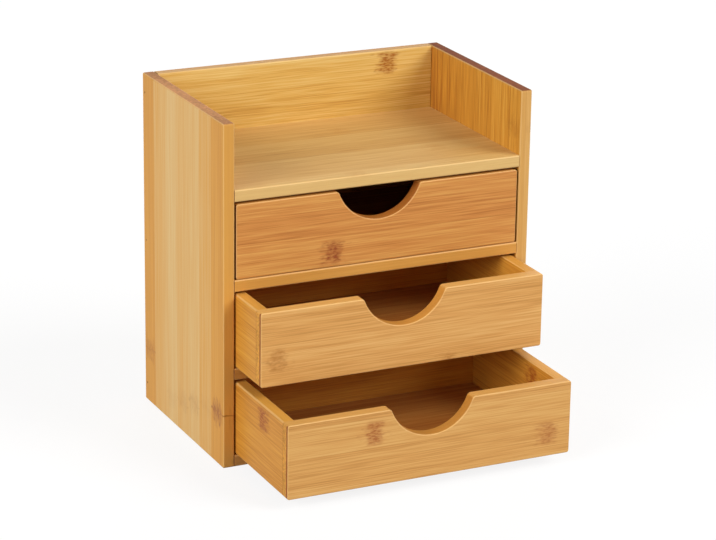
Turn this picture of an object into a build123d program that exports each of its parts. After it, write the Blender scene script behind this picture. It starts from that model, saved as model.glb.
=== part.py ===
from build123d import *
import os

os.makedirs("parts", exist_ok=True)

# Desktop mini drawers: a bamboo cabinet with an open tray on top and three drawers below it.
# Millimetres. X runs left to right, Y front to back, Z up.
# The origin is the middle of the cabinet's underside.

# Cabinet
case_width = 205.0          # over both sides
case_depth = 129.0          # front edges to the rear of the back panel
case_board = 7.5            # every board of the cabinet
bay_height = 48.5           # clear height of one drawer bay
tray_depth = 41.0           # sides and back above the top shelf
case_round = 1.0            # eased free edges
back_ease = 0.6             # upright edges of the back panel, seen as a dark line in the tray

# Drawers
drawer_board = 7.5          # front, sides and back of a drawer
side_gap = 1.0              # drawer to cabinet side
seat_gap = 0.2              # drawer to the board that it slides on
top_gap = 1.6               # drawer to the board above
rear_gap = 1.0              # closed drawer to the back panel
middle_open = 37.0          # how far the middle drawer stands out
bottom_open = 76.5          # how far the bottom drawer stands out
drawer_corner = 1.5         # rounding along the outer edges of the drawer box
drawer_round = 0.8          # eased faces and inner edges

# Finger notch in each drawer front
notch_radius = 28.4
notch_depth = 19.8
notch_shoulder = 2.5        # rounding where it meets the top edge

# Floor panel of a drawer, held in a groove all round
floor_board = 3.0
floor_lift = 4.0            # underside of the drawer up to the floor panel
groove_depth = 3.0
groove_slack = 0.1          # above and below the panel
floor_slack = 0.3           # panel edge to the groove's bottom

# Hidden dowels
dowel_diameter = 4.0
dowel_length = 16.0
dowel_in_face = 4.5         # how deep a dowel sits in the face of a board
dowel_chamfer = 0.5
hole_slack = 0.05           # radial, round dowels and pins
hole_over = 0.25            # each blind hole runs past the end of its dowel or pin
shelf_dowel_inset = 25.0    # from a shelf's front and rear edges
drawer_dowel_inset = 12.0   # from a drawer's top and bottom edges

# Pins that fasten the back panel through the sides
pin_diameter = 1.2
pin_length = 20.0
pin_recess = 0.2            # below the face of the side
pin_inset = 12.0            # from the top and bottom of the back panel

# What follows from them
front_y = -case_depth / 2
rear_y = case_depth / 2
back_y = rear_y - case_board                    # front face of the back panel
bay_half = case_width / 2 - case_board          # middle of the cabinet to the face of a side
level_step = case_board + bay_height
case_height = 4 * case_board + 3 * bay_height + tray_depth
drawer_half = bay_half - side_gap
drawer_height = bay_height - seat_gap - top_gap
drawer_depth = case_depth - case_board - rear_gap
inner_half = drawer_half - drawer_board         # middle of a drawer to the face of its side

SHELVES = ["base_board", "lower_divider", "upper_divider", "top_shelf"]
DRAWERS = {"bottom_drawer": bottom_open, "middle_drawer": middle_open, "top_drawer": 0.0}


def block(x, y, z):
    """A board that fills the given spans."""
    size = [max(span) - min(span) for span in (x, y, z)]
    return Pos(min(x), min(y), min(z)) * Box(*size, align=(Align.MIN, Align.MIN, Align.MIN))


def eased(board, radius, along, *places):
    """Round the edges that run along an axis and lie at the given (axis, coordinate) places."""
    edges = board.edges().filter_by(along)
    for axis, coordinate in places:
        edges = edges.filter_by_position(axis, coordinate - 0.001, coordinate + 0.001)
    return fillet(edges, min(radius, 0.45 * min(tuple(board.bounding_box().size))))


def rod(start, axis, length, diameter):
    """A round bar from a point along an axis."""
    bar = Cylinder(diameter / 2, length, align=(Align.CENTER, Align.CENTER, Align.MIN))
    return Plane(origin=start, z_dir=axis) * bar


def save(name, *solids):
    """One node: a single piece, or a group of like pieces that stay separate solids."""
    shape = solids[0] if len(solids) == 1 else Compound(children=list(solids))
    export_step(shape, f"parts/{name}.step")


# Dowels: each is a joint, given by the point where its axis crosses the two boards' meeting faces
# and by the direction from the face of one board into the end of the other.

def dowel(point, into):
    start = Vector(*point) - Vector(*into) * dowel_in_face
    bar = rod(start, into, dowel_length, dowel_diameter)
    return chamfer(bar.edges().filter_by(GeomType.CIRCLE), dowel_chamfer)


def dowel_hole(point, into):
    start = Vector(*point) - Vector(*into) * (dowel_in_face + hole_over)
    return rod(start, into, dowel_length + 2 * hole_over, dowel_diameter + 2 * hole_slack)


def shelf_joints(side):
    """Two dowels at one end of each shelf; side is -1 on the left and 1 on the right."""
    joints = []
    for level in range(len(SHELVES)):
        z = level * level_step + case_board / 2
        for y in (front_y + shelf_dowel_inset, back_y - shelf_dowel_inset):
            joints.append(((side * bay_half, y, z), (-side, 0, 0)))
    return joints


def pin_line(side):
    """Where the pins through one side start, and the direction that they run in."""
    x = side * (case_width / 2 - pin_recess)
    y = rear_y - case_board / 2
    heights = (pin_inset, case_height / 2, case_height - pin_inset)
    return [((x, y, z), (-side, 0, 0)) for z in heights]


def pin(start, into):
    return rod(start, into, pin_length, pin_diameter)


def pin_hole(start, into):
    mouth = Vector(*start) - Vector(*into) * pin_recess
    return rod(mouth, into, pin_recess + pin_length + hole_over, pin_diameter + 2 * hole_slack)


# Cabinet

def cabinet_side(side):
    """A full-height side with eased free edges, dowel holes inside and pin holes at the rear."""
    inner, outer = side * bay_half, side * case_width / 2
    board = block((inner, outer), (front_y, rear_y), (0, case_height))
    inside = board.edges().filter_by_position(Axis.X, inner - 0.001, inner + 0.001)
    jointed = ShapeList([inside.sort_by(Axis.Y)[-1], inside.sort_by(Axis.Z)[0]])
    board = fillet(board.edges() - jointed, min(case_round, 0.45 * case_board))
    for joint in shelf_joints(side):
        board -= dowel_hole(*joint)
    for place in pin_line(side):
        board -= pin_hole(*place)
    return board


def back_panel():
    """Full height, between the sides; its ends take the pins."""
    board = block((-bay_half, bay_half), (back_y, rear_y), (0, case_height))
    board = eased(board, case_round, Axis.X, (Axis.Z, case_height))
    board = eased(board, back_ease, Axis.Z)
    for side in (-1, 1):
        for place in pin_line(side):
            board -= pin_hole(*place)
    return board


def shelf(level):
    """A shelf, divider or base between the sides, in front of the back panel."""
    bottom = level * level_step
    board = block((-bay_half, bay_half), (front_y, back_y), (bottom, bottom + case_board))
    board = eased(board, case_round, Axis.X, (Axis.Y, front_y))
    for side in (-1, 1):
        for joint in shelf_joints(side):
            board -= dowel_hole(*joint)
    return board


# Drawers: each is built closed in its own bay, then drawn out to where it stands.

def corner_joints(bottom):
    """Dowels of one drawer: front to sides along Y, sides to back along X."""
    joints = []
    for z in (bottom + drawer_dowel_inset, bottom + drawer_height - drawer_dowel_inset):
        for side in (-1, 1):
            wall = side * (drawer_half - drawer_board / 2)
            joints.append(((wall, front_y + drawer_board, z), (0, 1, 0)))
            rear = front_y + drawer_depth - drawer_board / 2
            joints.append(((side * inner_half, rear, z), (-side, 0, 0)))
    return joints


def floor_space(bottom, slack, gap):
    """The floor panel's space: slack is added above and below, gap is left at the edges."""
    reach = groove_depth - gap
    return block(
        (-inner_half - reach, inner_half + reach),
        (front_y + drawer_board - reach, front_y + drawer_depth - drawer_board + reach),
        (bottom + floor_lift - slack, bottom + floor_lift + floor_board + slack),
    )


def with_joints(board, bottom):
    """Cut the floor's groove and the dowel holes that fall in a board of the drawer."""
    board -= floor_space(bottom, groove_slack, 0)
    for joint in corner_joints(bottom):
        board -= dowel_hole(*joint)
    return board


def drawer_front(bottom):
    """The front covers the ends of the sides and has a round finger notch in its top edge."""
    rise = notch_radius - notch_depth
    top = drawer_height / 2
    outline = RectangleRounded(2 * drawer_half, drawer_height, drawer_corner)
    outline -= Pos(0, top + rise) * Circle(notch_radius)
    points = outline.vertices().filter_by_position(Axis.X, -notch_radius, notch_radius)
    outline = fillet(points, notch_shoulder)
    face = Plane(
        origin=(0, front_y + drawer_board, bottom + top), x_dir=(1, 0, 0), z_dir=(0, -1, 0)
    )
    board = extrude(face * outline, drawer_board)
    board = fillet(board.faces().sort_by(Axis.Y)[0].edges(), drawer_round)
    return with_joints(board, bottom)


def drawer_side(side, bottom):
    """From the front's rear face to the back of the drawer."""
    inner, outer = side * inner_half, side * drawer_half
    rear, top = front_y + drawer_depth, bottom + drawer_height
    board = block((inner, outer), (front_y + drawer_board, rear), (bottom, top))
    board = eased(board, drawer_corner, Axis.Y, (Axis.X, outer))
    board = eased(board, drawer_round, Axis.Y, (Axis.X, inner))
    return with_joints(board, bottom)


def drawer_back(bottom):
    """Between the sides, as high as they are."""
    rear = front_y + drawer_depth
    spans = (-inner_half, inner_half), (rear - drawer_board, rear), (bottom, bottom + drawer_height)
    board = eased(block(*spans), drawer_round, Axis.X)
    return with_joints(board, bottom)


def build_cabinet():
    save("left_side", cabinet_side(-1))
    save("right_side", cabinet_side(1))
    save("back_panel", back_panel())
    for level, name in enumerate(SHELVES):
        save(name, shelf(level))
    save("case_dowels", *[dowel(*joint) for side in (-1, 1) for joint in shelf_joints(side)])
    save("back_pins", *[pin(*place) for side in (-1, 1) for place in pin_line(side)])


def build_drawer(name, level, drawn_out):
    bottom = level * level_step + case_board + seat_gap
    out = Pos(0, -drawn_out, 0)
    save(f"{name}_front", out * drawer_front(bottom))
    save(f"{name}_left", out * drawer_side(-1, bottom))
    save(f"{name}_right", out * drawer_side(1, bottom))
    save(f"{name}_back", out * drawer_back(bottom))
    save(f"{name}_floor", out * floor_space(bottom, 0, floor_slack))
    save(f"{name}_dowels", *[out * dowel(*joint) for joint in corner_joints(bottom)])


build_cabinet()
for level, (name, drawn_out) in enumerate(DRAWERS.items()):
    build_drawer(name, level, drawn_out)
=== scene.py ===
import bpy
import math
from mathutils import Matrix, Vector


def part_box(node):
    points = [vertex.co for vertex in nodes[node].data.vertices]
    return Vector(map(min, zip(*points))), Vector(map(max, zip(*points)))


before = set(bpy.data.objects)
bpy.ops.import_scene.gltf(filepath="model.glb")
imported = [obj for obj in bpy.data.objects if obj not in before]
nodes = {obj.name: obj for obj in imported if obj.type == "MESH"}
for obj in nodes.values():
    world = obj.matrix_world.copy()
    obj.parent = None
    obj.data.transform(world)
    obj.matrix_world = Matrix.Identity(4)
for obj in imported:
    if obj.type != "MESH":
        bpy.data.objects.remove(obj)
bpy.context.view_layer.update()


# ---- Left side -------------------------------------------------------------------------------------
# A full-height board of laminated bamboo, its strips glued edge to edge with the grain upright, planed,
# eased all round, clear varnished and dowelled to the ends of the shelves. It is pale tan, with fine
# upright fibres and darker outer strips.

def paint(hex_colour):
    """An sRGB hex colour as linear red, green, blue and alpha."""
    channels = [int(hex_colour[i:i + 2], 16) / 255 for i in (1, 3, 5)]
    return [c / 12.92 if c <= 0.04045 else ((c + 0.055) / 1.055) ** 2.4 for c in channels] + [1.0]


def connect(tree, made, links):
    """Sets inputs of a shader node, each to a value or to what another node gives."""
    for name, value in links.items():
        if isinstance(value, bpy.types.Node):
            value = value.outputs[0]
        if isinstance(value, bpy.types.NodeSocket):
            tree.links.new(value, made.inputs[name])
        else:
            made.inputs[name].default_value = value


def add(tree, kind, links=None, **settings):
    """Adds a shader node. Its settings are properties, its links are inputs' values or their sources."""
    made = tree.nodes.new("ShaderNode" + kind)
    for name, value in settings.items():
        setattr(made, name, value)
    connect(tree, made, links or {})
    return made


def new_finish(name):
    """A new finish, and the tree that its shader nodes go in."""
    finish = bpy.data.materials.new(name)
    finish.use_nodes = True
    return finish, finish.node_tree


def place_in_mm(tree):
    """Where a point of the object lies, in mm."""
    place = add(tree, "TexCoord").outputs["Object"]
    return add(tree, "VectorMath", {0: place, "Scale": 1000.0}, operation="SCALE")


def facing(tree):
    """How squarely a surface faces along X, Y and Z, either way: 1 is square on, 0 is side on."""
    normal = add(tree, "TexCoord").outputs["Normal"]
    either_way = add(tree, "VectorMath", {0: normal}, operation="ABSOLUTE")
    return add(tree, "SeparateXYZ", {0: either_way}).outputs


def dress(node, finish):
    """Gives a piece a finish in place of the one that it came with."""
    finishes = nodes[node].data.materials
    finishes.clear()
    finishes.append(finish)


STRIP = 18.4            # mm, width of a bamboo strip


def lay_strips(tree, sideways, start, strips, length):
    """Lays strips side by side from start. Gives the tone of the strip that a point lies in, its
    knuckle's place as a share of the length, how strongly that shows, and how far inside the strip the
    point is, from 0 at its border to 1."""
    laid = add(tree, "MapRange", {"Value": sideways, "From Min": start,
                                  "From Max": start + STRIP * len(strips)}, clamp=False)
    wrapped = add(tree, "Math", {0: laid}, operation="FRACT")

    # A ramp holds the strips: red is the tone, green the knuckle's place and blue its strength.
    plan = add(tree, "ValToRGB", {0: wrapped})
    ramp = plan.color_ramp
    ramp.interpolation = "CONSTANT"
    for number, strip in enumerate(strips):
        tone, knuckle, strength = strip if isinstance(strip, tuple) else (strip, 0.0, 0.0)
        stop = ramp.elements.new(number / len(strips)) if number else ramp.elements[0]
        stop.color = (tone, knuckle / length, strength, 1.0)
    ramp.elements.remove(ramp.elements[-1])
    planned = add(tree, "SeparateColor", {0: plan}).outputs

    counted = add(tree, "Math", {0: wrapped, 1: float(len(strips))}, operation="MULTIPLY")
    share_of_strip = add(tree, "Math", {0: counted}, operation="FRACT")
    off_middle = add(tree, "Math", {0: share_of_strip, 1: 0.5}, operation="SUBTRACT")
    to_border = add(tree, "Math", {0: off_middle}, operation="ABSOLUTE")
    inside = add(tree, "MapRange", {"Value": to_border, "From Min": 0.5, "From Max": 0.25},
                 interpolation_type="SMOOTHSTEP")
    return planned["Red"], planned["Green"], planned["Blue"], inside


# What the grain is made of: broad bands of colour, fibres that show as fine straight lines, and short
# dark vessels. The real lines and vessels are under 0.5 mm wide, too fine to show, and are drawn
# coarser. Each has a width and length in mm, its palest and darkest shift in tone, and its detail.
GRAIN = ((4.0, 400.0, -0.09, 0.09, 1.0),
         (0.8, 88.0, -0.15, 0.17, 1.0),
         (0.55, 22.0, -0.13, 0.15, 0.0))
CANE_SHIFT = 900.0      # mm along the grain, between the fibres of a pale strip and of a dark one
NOISE_LOW = 0.3         # nearly all values of a noise lie between these two
NOISE_HIGH = 0.7


def along_fibres(tree, spot, width, length):
    """Where to read a noise, so that a speck of that width comes out that long along the grain."""
    along, sideways, inwards = spot
    drawn_out = add(tree, "Math", {0: along, 1: width / length}, operation="MULTIPLY")
    return add(tree, "CombineXYZ", {"X": drawn_out, "Y": sideways, "Z": inwards})


def add_grain(tree, strip_tone, spot, contrast, coarseness):
    """A strip's tone with its grain. Each strip is cut from another cane, so its fibres are its own."""
    along, sideways, inwards = spot
    own_place = add(tree, "Math", {0: strip_tone, 1: CANE_SHIFT, 2: along}, operation="MULTIPLY_ADD")
    tone = strip_tone
    for width, length, palest, darkest, detail in GRAIN:
        place = along_fibres(tree, (own_place, sideways, inwards), width, length)
        noise = add(tree, "TexNoise", {"Vector": place, "Scale": 1 / (width * coarseness),
                                       "Detail": detail, "Roughness": 0.65})
        shift = add(tree, "MapRange", {"Value": noise, "From Min": NOISE_LOW, "From Max": NOISE_HIGH,
                                       "To Min": palest * contrast, "To Max": darkest * contrast})
        tone = add(tree, "Math", {0: tone, 1: shift}, operation="ADD")
    return tone


def bamboo_colour(tree, tone, tones):
    """A tone as a colour, from the pale one through the middle one to the dark one."""
    colour = add(tree, "ValToRGB", {0: tone})
    stops = colour.color_ramp.elements
    stops.new(0.5)
    for stop, shade in zip(stops, tones):
        stop.color = paint(shade)
    return colour


BUNDLE_SPACING = 1.3    # mm, between the bundles of fibre that show in the end grain
BUNDLE_SHADE = 0.55     # how bright a bundle is beside the rest of the end grain


def end_grain(tree, end, strip_tone, place):
    """The end grain is speckled with the cut bundles of fibre, which are denser in a darker strip."""
    noise = add(tree, "TexNoise", {"Vector": place, "Scale": 1 / BUNDLE_SPACING, "Detail": 1.0})
    density = add(tree, "Math", {0: noise, 1: 1.5, 2: strip_tone}, operation="MULTIPLY_ADD")
    bundles = add(tree, "MapRange", {"Value": density, "From Min": 0.75, "From Max": 1.55})
    bundle = [channel * BUNDLE_SHADE for channel in paint(end)[:3]] + [1.0]
    return add(tree, "MixRGB", {"Fac": bundles, "Color1": paint(end), "Color2": bundle})


# A knuckle, in mm along the grain where nothing else is said.
KNUCKLE_CORE = 1.0      # from its middle to where it starts to fade
KNUCKLE_REACH = 9.5     # from its middle to where it has faded out
BEND = 10.0             # how far it strays from a straight line, both ways together, at most
BEND_SPACING = 7.0      # from one bend to the next, in any direction
FRAY = 14.0             # how far rows of fibres are shifted against each other, at most
FRAY_SPACING = 1.6      # from row to row, across the grain
FLECK_LENGTH = 3.0
FLECK_WIDTH = 1.0       # across the grain
RING_CORE = 0.2         # half the width of the ring's darkest part
RING_REACH = 1.2        # half the width of the whole ring


def knuckle_cover(tree, spot, place, middle, strength, inside, edge_share, ring):
    """How much of a knuckle's colour covers a point. A knuckle is a soft patch across its strip, about
    10 mm along the grain, frayed, filled with flecks, and fainter on the board's long edges. A ring is
    a thin line through it, where the cane's wall was grown over."""
    along = spot[0]
    away = add(tree, "Math", {0: along, 1: middle}, operation="SUBTRACT")
    bends = add(tree, "TexNoise", {"Vector": place, "Scale": 1 / BEND_SPACING, "Detail": 1.0})
    off_line = add(tree, "Math", {0: bends, 1: 0.5}, operation="SUBTRACT")
    bent = add(tree, "Math", {0: off_line, 1: BEND, 2: away}, operation="MULTIPLY_ADD")

    in_rows = along_fibres(tree, spot, FLECK_WIDTH, FLECK_LENGTH)
    rows = add(tree, "TexNoise", {"Vector": in_rows, "Scale": 1 / FRAY_SPACING, "Detail": 1.0})
    off_row = add(tree, "Math", {0: rows, 1: 0.5}, operation="SUBTRACT")
    frayed = add(tree, "Math", {0: off_row, 1: FRAY, 2: bent}, operation="MULTIPLY_ADD")
    from_middle = add(tree, "Math", {0: frayed}, operation="ABSOLUTE")
    patch = add(tree, "MapRange", {"Value": from_middle, "From Min": KNUCKLE_REACH,
                                   "From Max": KNUCKLE_CORE}, interpolation_type="SMOOTHSTEP")

    # The flecks show nearly the whole of the knuckle's colour, and what lies between them under half.
    flecks = add(tree, "TexNoise", {"Vector": in_rows, "Scale": 1 / FLECK_WIDTH, "Detail": 1.0})
    fleck_share = add(tree, "MapRange", {"Value": flecks, "From Min": 0.4, "From Max": 0.62,
                                         "To Min": 0.45, "To Max": 0.95})
    flecked = add(tree, "Math", {0: patch, 1: fleck_share}, operation="MULTIPLY")
    within_strip = add(tree, "Math", {0: strength, 1: inside}, operation="MULTIPLY")
    on_face = add(tree, "MapRange", {"Value": edge_share, "To Min": 1.0, "To Max": 0.25})
    shown = add(tree, "Math", {0: within_strip, 1: on_face}, operation="MULTIPLY")
    knuckle = add(tree, "Math", {0: flecked, 1: shown}, operation="MULTIPLY")

    from_ring = add(tree, "Math", {0: bent}, operation="ABSOLUTE")
    line = add(tree, "MapRange", {"Value": from_ring, "From Min": RING_REACH, "From Max": RING_CORE,
                                  "To Max": ring})
    ringed = add(tree, "Math", {0: line, 1: strength}, operation="MULTIPLY")
    return add(tree, "Math", {0: knuckle, 1: ringed}, operation="MAXIMUM")


EDGE_COVER = 0.6        # how much of its own colour a long edge shows over the wood
END_COVER = 0.95        # the same at the ends
# The paler colour of the eased corners is partly sanding and partly a painted highlight along the rounded
# edges.
SANDED_AND_HIGHLIT = "#EDC888"      # the eased corners, which sanding leaves paler
SANDED_AND_HIGHLIT_COVER = 0.4
PALE_ROUGHNESS = 0.48   # of the varnish over the palest wood
DARK_ROUGHNESS = 0.6    # of the varnish over the darkest wood
END_ROUGHNESS = 0.3     # what the open ends add to either
FIBRE_RELIEF = 0.00005  # m


def varnished_bamboo(node, grain, across, first, strips, tones, edge, end, fleck,
                     contrast=0.8, coarseness=1.0, ring=0.0, second_ply=None):
    """Gives a board of laminated bamboo its finish. The grain runs along one axis and the strips lie
    side by side across another, the first of them cut to first mm. Each strip is a tone, from 0 for
    pale to 1 for dark, or a tone, the place of its knuckle in mm from the low end of the grain, and how
    strongly the knuckle shows. Edge, end and fleck are the colours of the long edges, the end grain and
    the knuckles. Contrast and coarseness are the grain's, and ring is how strongly rings show. The ply
    that lies further along the third axis may have tones of its own."""
    low, high = (corner * 1000 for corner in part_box(node))
    axis = {"X": 0, "Y": 1, "Z": 2}
    through = ({"X", "Y", "Z"} - {grain, across}).pop()
    foot = low[axis[grain]]
    length = high[axis[grain]] - foot
    middle_of_board = (low[axis[through]] + high[axis[through]]) / 2

    finish, tree = new_finish(f"varnished_bamboo_{node}")
    place = place_in_mm(tree)
    coordinates = add(tree, "SeparateXYZ", {0: place}).outputs
    spot = [coordinates[name] for name in (grain, across, through)]
    face = facing(tree)
    end_share = add(tree, "Math", {0: face[grain], 1: 2.0}, operation="POWER")
    edge_share = add(tree, "Math", {0: face[across], 1: 2.0}, operation="POWER")

    # The board is two plies thick. The strips of the second are laid half a strip further along.
    ply = add(tree, "Math", {0: coordinates[through], 1: middle_of_board}, operation="GREATER_THAN")
    staggered = add(tree, "Math", {0: ply, 1: STRIP / 2, 2: coordinates[across]},
                    operation="MULTIPLY_ADD")
    start = low[axis[across]] - (STRIP - first)
    strip_tone, knuckle, strength, inside = lay_strips(tree, staggered, start, strips, length)
    tone = add_grain(tree, strip_tone, spot, contrast, coarseness)
    wood = add(tree, "MixRGB", {"Fac": ply, "Color1": bamboo_colour(tree, tone, tones),
                                "Color2": bamboo_colour(tree, tone, second_ply or tones)})

    # Where a long edge or an end of the board faces out, the varnish soaks in and changes its colour.
    on_edge = add(tree, "Math", {0: edge_share, 1: EDGE_COVER}, operation="MULTIPLY")
    edged = add(tree, "MixRGB", {"Fac": on_edge, "Color1": wood, "Color2": paint(edge)})
    on_end = add(tree, "Math", {0: end_share, 1: END_COVER}, operation="MULTIPLY")
    ended = add(tree, "MixRGB", {"Fac": on_end, "Color1": edged,
                                 "Color2": end_grain(tree, end, strip_tone, place)})

    # An eased corner turns from the flat face, which is square on, to the edge, which is side on. Where it
    # has left the one and not yet come to the other it is paler: partly sanded wood, partly a painted
    # highlight.
    off_face = add(tree, "MapRange", {"Value": face[through], "From Min": 0.97, "From Max": 0.8,
                                      "To Max": SANDED_AND_HIGHLIT_COVER})
    off_edge = add(tree, "MapRange", {"Value": face[through], "From Min": 0.15, "From Max": 0.4})
    eased = add(tree, "Math", {0: off_face, 1: off_edge}, operation="MULTIPLY")
    sanded_and_highlit = add(tree, "MixRGB", {"Fac": eased, "Color1": ended, "Color2": paint(SANDED_AND_HIGHLIT)})

    middle = add(tree, "Math", {0: knuckle, 1: length, 2: foot}, operation="MULTIPLY_ADD")
    cover = knuckle_cover(tree, spot, place, middle, strength, inside, edge_share, ring)
    knuckled = add(tree, "MixRGB", {"Fac": cover, "Color1": sanded_and_highlit, "Color2": paint(fleck)})

    # Satin varnish: it levels the surface, but the fibres still tell in its gloss and relief. The open
    # ends drink it and stay dull.
    sheen = add(tree, "MapRange", {"Value": tone, "To Min": PALE_ROUGHNESS, "To Max": DARK_ROUGHNESS})
    roughness = add(tree, "Math", {0: end_share, 1: END_ROUGHNESS, 2: sheen}, operation="MULTIPLY_ADD")
    relief = add(tree, "Bump", {"Strength": 0.25, "Distance": FIBRE_RELIEF, "Height": tone})
    connect(tree, tree.nodes["Principled BSDF"], {
        "Base Color": knuckled, "Roughness": roughness, "Normal": relief, "IOR": 1.5,
        "Specular IOR Level": 0.25, "Coat Weight": 0.1, "Coat Roughness": 0.3})
    dress(node, finish)


varnished_bamboo(
    "left_side", "Z", "Y", STRIP,
    [(0.6, 33.5, 1.0), (0.36, 30.0, 0.12), (0.22, 26.0, 0.3), (0.3, 21.0, 0.2), (0.2, 17.0, 0.12), 0.3,
     (0.6, 37.0, 0.6)],
    ("#DCBE82", "#D4973B", "#B8772A"), edge="#DA9F4E", end="#C48754", fleck="#9A5A20",
    contrast=0.4, coarseness=2.2, ring=0.8)


# ---- Right side ------------------------------------------------------------------------------------
# The same board as the left side, more strongly streaked. Its inner ply is painted warmer and darker than
# its paler outer one, and its strips darker towards the back, as painted shade of the tray's right corner.
# Its end grain on top is painted dark, as painted shade of the top edge.

# Strips darkening towards the back and the darker, warmer inner ply are painted shade; so is the dark end
# colour on top.
varnished_bamboo(
    "right_side", "Z", "Y", STRIP,
    [(0.5, 191.5, 0.4), 0.42, 0.5, (0.5, 120.0, 0.4), 0.6, (0.65, 150.0, 0.4), 0.75],
    ("#DCAA4E", "#C4882E", "#935618"), edge="#DCA862", end="#843A10", fleck="#8A4C10",
    contrast=1.0, second_ply=("#E2C084", "#D6A250", "#B47C34"))


# ---- Back panel ------------------------------------------------------------------------------------
# A board between the two sides with its grain level, pinned through them and seen above the tray.
# Golden, with long brown streaks and one strong knuckle.

varnished_bamboo(
    "back_panel", "X", "Z", 15.0,
    [0.5, (0.6, 40.0, 0.5), 0.35, (0.6, 100.0, 0.6), (0.4, 20.0, 0.5), 0.5, (0.5, 130.0, 0.6),
     (0.35, 70.0, 0.5), 0.6, (0.45, 30.0, 0.5), 0.5, (0.4, 158.0, 1.0)],
    ("#EBCF88", "#D9AC56", "#AC7026"), edge="#A87044", end="#4A2408", fleck="#9A5008")


# ---- Top shelf, dividers and base board ------------------------------------------------------------
# Four equal boards with level grain, dowelled between the sides. The top shelf is the floor of the tray
# and the palest surface. Their eased front edges show above, between and below the drawers.

SHELF_STRIPS = [(0.3, 81.0, 0.35), 0.4, (0.3, 150.0, 0.3), (0.5, 20.0, 0.4), 0.35, (0.45, 110.0, 0.3), 0.4]
PALE_TONES = ("#DFBA76", "#CE9E58", "#AC7436")
PLAIN_TONES = ("#D89E52", "#C4823A", "#9E5E24")
SHELVES = {"top_shelf": (PALE_TONES, "#E2BB78"), "upper_divider": (PLAIN_TONES, "#DCA048"),
           "lower_divider": (PLAIN_TONES, "#C48238"), "base_board": (PLAIN_TONES, "#C48A44")}
for number, (shelf, (tones, edge)) in enumerate(SHELVES.items()):
    turned = SHELF_STRIPS[number:] + SHELF_STRIPS[:number]
    varnished_bamboo(shelf, "X", "Y", STRIP, turned, tones, edge, end="#B98356", fleck="#BC7C2C",
                     contrast=0.9)


# ---- Drawer fronts ---------------------------------------------------------------------------------
# Each front is one board with level grain and a round finger notch sawn in its top edge, glued and
# dowelled to the ends of the drawer's sides. The top one is redder than the other two.

varnished_bamboo(
    "top_drawer_front", "X", "Z", STRIP, [(0.42, 63.5, 0.95), 0.52, 0.4],
    ("#E4B05E", "#CE8842", "#9E5A22"), edge="#D29A4C", end="#DF923C", fleck="#8A3812")
varnished_bamboo(
    "middle_drawer_front", "X", "Z", 7.0, [(0.45, 125.0, 0.5), (0.4, 11.0, 0.6), 0.5, 0.4],
    ("#EBBD77", "#D89E57", "#AE7430"), edge="#D8A354", end="#EAA544", fleck="#A0601C")
varnished_bamboo(
    "bottom_drawer_front", "X", "Z", 6.0, [0.45, (0.5, 172.0, 0.6), (0.4, 56.0, 0.85), 0.55],
    ("#E5B972", "#D39B55", "#A86E2E"), edge="#D6A052", end="#E7A244", fleck="#9A4A1C")

NOTCH_RADIUS = 28.4     # mm
NOTCH_RISE = 8.6        # mm, from the front's top edge up to the middle of that circle
NOTCH_RIM = 0.3         # mm, over which the colour of its wall fades out into the rounded rim
NOTCH_COVER = 0.7       # how much of that colour shows over the wood
END_DEPTH = 1.0         # mm, how far in from a front's end the lines on it reach

# How dark an end is at so many mm behind the face: the dark line, then the glue line at its rear.
END_LINES = ((0.4, 0.0), (0.8, 1.0), (1.8, 1.0), (2.5, 0.0), (6.7, 0.0), (7.3, 0.5))


def mark_front_ends_and_notch(node, dark_end_line, notch_wall_and_shade):
    """Draws on a front a dark line across its ends just behind the face, and the browner wall of the
    notch. On the top front the line is painted shade of the gap beside the case, and the wall is darkened
    further as painted shade under the shelf. The ends also show the thin glue line where they meet the
    drawer's side."""
    low, high = (corner * 1000 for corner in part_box(node))
    tree = nodes[node].data.materials[0].node_tree
    shader = tree.nodes["Principled BSDF"]
    wood = shader.inputs["Base Color"].links[0].from_socket
    spot = add(tree, "SeparateXYZ", {0: place_in_mm(tree)}).outputs

    flat_place = add(tree, "CombineXYZ", {"X": spot["X"], "Z": spot["Z"]})
    notch_middle = ((low.x + high.x) / 2, 0.0, high.z + NOTCH_RISE)
    radius = add(tree, "VectorMath", {0: flat_place, 1: notch_middle}, operation="DISTANCE")
    on_wall = add(tree, "MapRange", {"Value": radius.outputs["Value"],
                                     "From Min": NOTCH_RADIUS + NOTCH_RIM,
                                     "From Max": NOTCH_RADIUS, "To Max": NOTCH_COVER})
    notched = add(tree, "MixRGB", {"Fac": on_wall, "Color1": wood, "Color2": paint(notch_wall_and_shade)})

    behind_face = add(tree, "MapRange", {"Value": spot["Y"], "From Min": low.y, "From Max": high.y})
    lines = add(tree, "ValToRGB", {0: behind_face})
    ramp = lines.color_ramp
    for depth, darkness in END_LINES:
        ramp.elements.new(depth / (high.y - low.y)).color = (darkness, darkness, darkness, 1.0)
    ramp.elements.remove(ramp.elements[0])
    ramp.elements.remove(ramp.elements[-1])

    # The lines are on the ends alone, not on the steep walls of the notch, which face much as they do.
    square_on = add(tree, "Math", {0: facing(tree)["X"], 1: 0.75}, operation="GREATER_THAN")
    from_middle = add(tree, "Math", {0: spot["X"]}, operation="ABSOLUTE")
    outermost = add(tree, "Math", {0: from_middle, 1: high.x - END_DEPTH}, operation="GREATER_THAN")
    on_end = add(tree, "Math", {0: square_on, 1: outermost}, operation="MULTIPLY")
    on_end_line = add(tree, "Math", {0: on_end, 1: lines}, operation="MULTIPLY")
    end_lined = add(tree, "MixRGB", {"Fac": on_end_line, "Color1": notched, "Color2": paint(dark_end_line)})
    connect(tree, shader, {"Base Color": end_lined})


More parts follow.
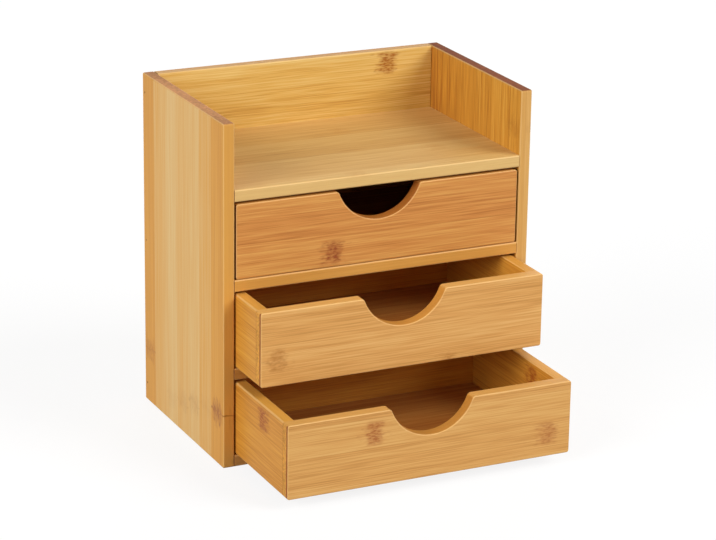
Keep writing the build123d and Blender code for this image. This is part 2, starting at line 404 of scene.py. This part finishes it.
# The top front's very dark end line is painted shade in the gap beside the case; its darker notch wall is
# partly painted shade under the shelf.
mark_front_ends_and_notch("top_drawer_front", dark_end_line="#4A1604", notch_wall_and_shade="#A85812")
mark_front_ends_and_notch("middle_drawer_front", dark_end_line="#8A4618", notch_wall_and_shade="#C4822E")
mark_front_ends_and_notch("bottom_drawer_front", dark_end_line="#8A4618", notch_wall_and_shade="#B47424")


# ---- Drawer walls ----------------------------------------------------------------------------------
# The sides and back of each drawer are boards like the front, with level grain, yellower than it. The
# sides are glued and dowelled to its rear face, and the back between them.

WALL_STRIPS = {"top_drawer": [0.4, (0.55, 80.0, 0.6), 0.5, 0.45],
               "middle_drawer": [0.5, 0.4, 0.45, (0.6, 60.0, 0.5)],
               "bottom_drawer": [0.55, 0.45, (0.55, 28.5, 1.0), 0.5]}
for drawer, wall_strips in WALL_STRIPS.items():
    for wall, grain in (("left", "Y"), ("right", "Y"), ("back", "X")):
        varnished_bamboo(
            f"{drawer}_{wall}", grain, "Z", 10.0, wall_strips, ("#E0A640", "#CC8A2F", "#A16019"),
            edge="#D8A048", end="#B07638", fleck="#924410", contrast=0.85)


# ---- Drawer floors ---------------------------------------------------------------------------------
# A thin panel of laminated bamboo, held unglued in a groove round the inside of each drawer. It is painted
# browner than the walls, as painted shade of the dim drawer insides, and its grain runs from side to side.

# The browner tones below are painted shade of the dim inside of the drawer.
for drawer in ("top_drawer", "middle_drawer", "bottom_drawer"):
    varnished_bamboo(
        f"{drawer}_floor", "X", "Y", STRIP,
        [(0.3, 40.0, 0.5), 0.5, (0.4, 130.0, 0.5), (0.5, 90.0, 0.4), 0.35, (0.4, 20.0, 0.5)],
        ("#CC924A", "#B06C2C", "#8A4A1A"), edge="#C89858", end="#A87448", fleck="#8A5428")


# ---- Dowels ----------------------------------------------------------------------------------------
# Plain turned beech rods, 4 mm thick, glued into the ends of the shelves and the corners of the
# drawers. Unvarnished, so pale, dry and finely pored; none shows once the boards are together.

PORE_SPACING = 0.6      # mm
PORE_DEPTH = 0.0001     # m

turned_beech, tree = new_finish("turned_beech")
pores = add(tree, "TexNoise", {"Vector": place_in_mm(tree), "Scale": 1 / PORE_SPACING, "Detail": 3.0})
beech = add(tree, "MixRGB", {"Fac": pores, "Color1": paint("#D9B98A"), "Color2": paint("#BE935F")})
dryness = add(tree, "MapRange", {"Value": pores, "To Min": 0.6, "To Max": 0.8})
pits = add(tree, "Bump", {"Strength": 0.3, "Distance": PORE_DEPTH, "Height": pores})
connect(tree, tree.nodes["Principled BSDF"], {
    "Base Color": beech, "Roughness": dryness, "Normal": pits, "IOR": 1.5})
for dowels in ("case_dowels", "top_drawer_dowels", "middle_drawer_dowels", "bottom_drawer_dowels"):
    dress(dowels, turned_beech)


# ---- Back panel pins -------------------------------------------------------------------------------
# Headless pins of drawn steel wire, driven through both sides into the ends of the back panel and set
# just below the surface, where each shows as a small dark dot.

TARNISH_SPACING = 0.5   # mm, between the spots of tarnish

drawn_steel, tree = new_finish("drawn_steel")
tarnish = add(tree, "TexNoise", {"Vector": place_in_mm(tree), "Scale": 1 / TARNISH_SPACING,
                                 "Detail": 2.0})
steel = add(tree, "MixRGB", {"Fac": tarnish, "Color1": paint("#4A4038"), "Color2": paint("#2E2620")})
wear = add(tree, "MapRange", {"Value": tarnish, "To Min": 0.4, "To Max": 0.6})
connect(tree, tree.nodes["Principled BSDF"], {"Base Color": steel, "Roughness": wear, "Metallic": 1.0})
dress("back_pins", drawn_steel)


# ---- Floor and backdrop ----------------------------------------------------------------------------
# White paper under and behind the cabinet. It shows near white to the camera and in gloss, keeps the
# soft shadow, and throws back only as much light as matt paper would.

FLOOR_SIZE = 12.0       # m


def seen_directly(tree):
    """1 for what the camera, a reflection or glass shows, 0 for light on its way to the object."""
    ray = add(tree, "LightPath").outputs
    direct = add(tree, "Math", {0: ray["Is Camera Ray"], 1: ray["Is Glossy Ray"]}, operation="MAXIMUM")
    return add(tree, "Math", {0: direct, 1: ray["Is Transmission Ray"]}, operation="MAXIMUM")


white_paper, tree = new_finish("white_paper")
tree.nodes.clear()
matt = add(tree, "BsdfDiffuse", {"Color": paint("#B4B4B4")})

# Seen directly it is a grey that takes the shadow, and a glow that lifts the grey to near white.
shaded = add(tree, "BsdfDiffuse", {"Color": paint("#707070")})
glow = add(tree, "Emission", {"Color": (1, 1, 1, 1), "Strength": 0.85})
near_white = add(tree, "AddShader", {0: shaded, 1: glow})
either = add(tree, "MixShader", {0: seen_directly(tree), 1: matt, 2: near_white})
add(tree, "OutputMaterial", {"Surface": either})

bpy.ops.object.select_all(action="DESELECT")
bpy.ops.mesh.primitive_plane_add(size=FLOOR_SIZE, location=(0, 0, 0))
floor = bpy.context.object
floor.name = "floor"
floor.data.materials.append(white_paper)


# ---- Light -----------------------------------------------------------------------------------------
# A dim white room with three large softboxes: one low on the left for the cabinet's side, one high on
# the right for the fronts and the tray, and one low behind on the right for the back.

ROOM_LIGHT = 0.18       # strength, on the object; seen directly, the room is white

world = bpy.data.worlds.new("studio")
bpy.context.scene.world = world
world.use_nodes = True
tree = world.node_tree
brightness = add(tree, "MapRange", {"Value": seen_directly(tree), "To Min": ROOM_LIGHT, "To Max": 1.0})
connect(tree, tree.nodes["Background"], {"Color": (1, 1, 1, 1), "Strength": brightness})

# Azimuth from the front to the right, elevation and spread in degrees, strength, and whether it shows
# in gloss: the rear one would whiten every upper edge.
SOFTBOXES = {"left_softbox": (-72, 24, 40, 2.4, True),
             "right_softbox": (42, 34, 35, 2.35, True),
             "rear_softbox": (150, 8, 40, 1.9, False)}
for name, (azimuth, elevation, spread, strength, in_gloss) in SOFTBOXES.items():
    lamp = bpy.data.lights.new(name, "SUN")
    lamp.energy = strength
    lamp.angle = math.radians(spread)
    softbox = bpy.data.objects.new(name, lamp)
    bpy.context.scene.collection.objects.link(softbox)
    turned, raised = math.radians(azimuth), math.radians(elevation)
    towards = Vector((math.sin(turned) * math.cos(raised),
                      -math.cos(turned) * math.cos(raised),
                      math.sin(raised)))
    softbox.rotation_euler = towards.to_track_quat("Z", "Y").to_euler()
    softbox.visible_glossy = in_gloss


# ---- Camera ----------------------------------------------------------------------------------------
# A long lens from the front left, a little above, so that the uprights stay nearly parallel. Its place
# and turn were solved from the edges of the boards.

PICTURE_WIDTH = 716     # pixels
FOCAL_LENGTH = 2833.5   # pixels
SENSOR_WIDTH = 36.0     # mm
CAMERA_PLACE = (-0.7178, -1.5302, 0.6660)   # m
CAMERA_HEADING = 25.652                     # degrees, from straight ahead to the right
CAMERA_DIP = 18.704                         # degrees, below the level
CAMERA_ROLL = 0.887                         # degrees

camera_data = bpy.data.cameras.new("camera")
camera_data.sensor_width = SENSOR_WIDTH
camera_data.lens = FOCAL_LENGTH / PICTURE_WIDTH * SENSOR_WIDTH
camera = bpy.data.objects.new("camera", camera_data)
bpy.context.scene.collection.objects.link(camera)
turn = (Matrix.Rotation(math.radians(-CAMERA_HEADING), 4, "Z")
        @ Matrix.Rotation(math.radians(90 - CAMERA_DIP), 4, "X")
        @ Matrix.Rotation(math.radians(CAMERA_ROLL), 4, "Z"))
camera.matrix_world = Matrix.Translation(CAMERA_PLACE) @ turn
bpy.context.scene.camera = camera
bpy.context.scene.view_settings.view_transform = "Standard"
